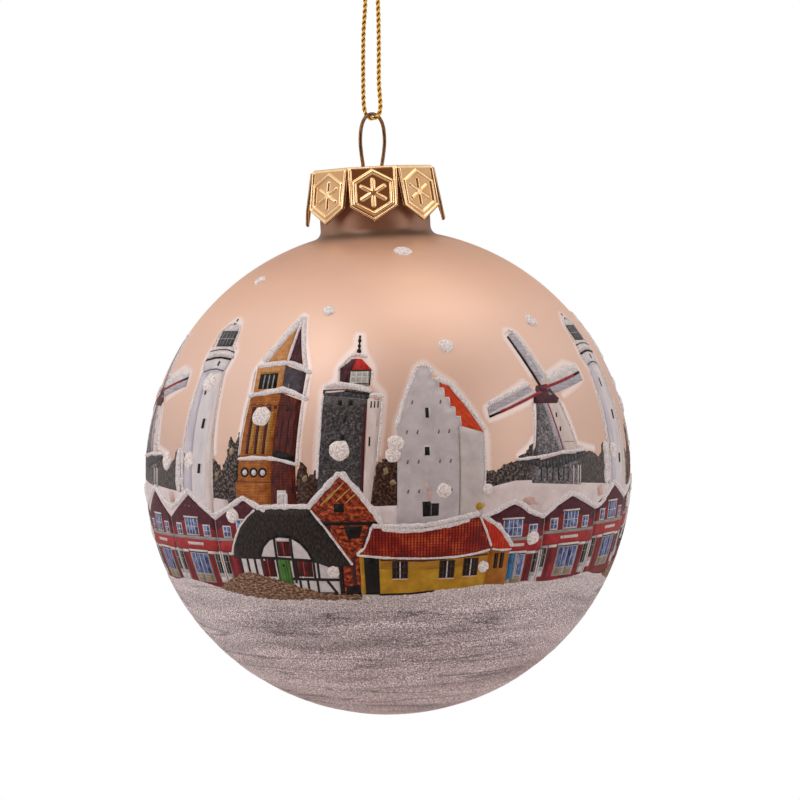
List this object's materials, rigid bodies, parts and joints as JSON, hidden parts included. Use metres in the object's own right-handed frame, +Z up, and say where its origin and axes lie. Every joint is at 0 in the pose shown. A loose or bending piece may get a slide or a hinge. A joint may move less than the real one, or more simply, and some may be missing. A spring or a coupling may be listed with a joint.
{
  "type": "glass christmas ball ornament",
  "caption": "Round blown glass ball with a printed winter village, a crown cap with pointed petals, a wire hanger and a loop of gold cord to hang it by.",
  "frame": {"origin": "the point inside the top of the cord loop that a twig or hook carries", "axes": "+Z up along the ball's axis, from the ball through its neck and cap to the hanging point; -Y is the side seen in the usual front view"},
  "size_m": [0.0806, 0.0807, 0.1425],
  "materials": {
    "pearl_glass": "opaque pearl lacquer, satin gloss",
    "stamped_gold": "thin stamped sheet, bright",
    "spring_wire": "bronze coloured spring wire",
    "gold_thread": "twisted metallic thread",
    "printed_paint": "printed picture with raised edges",
    "glitter_snow": "coarse glitter paint",
    "white_relief": "raised white paint"
  },
  "bodies": {
    "cord": {"hanging_cord": "gold_thread", "cord_knot": "gold_thread"},
    "hanger": {"hanger_wire": "spring_wire"},
    "cap": {"crown_cap": "stamped_gold"},
    "ball": {"glass_ball": "pearl_glass", "village_print": "printed_paint", "snow_ground": "glitter_snow", "snow_dots": "white_relief"}
  },
  "joints": [
    {"name": "ornament_swing", "type": "hinge", "parent": "cord", "child": "hanger", "pos_m": [0.0005, 0, -0.036], "axis": [0.866, -0.5, 0], "range_deg": [-60, 60]},
    {"name": "wire_play", "type": "slide", "parent": "hanger", "child": "cap", "axis": [0, 0, 1], "range_m": [0, 0.002]},
    {"name": "ball_pull_off", "type": "slide", "parent": "cap", "child": "ball", "axis": [0, 0, -1], "range_m": [0, 0.02]}
  ]
}
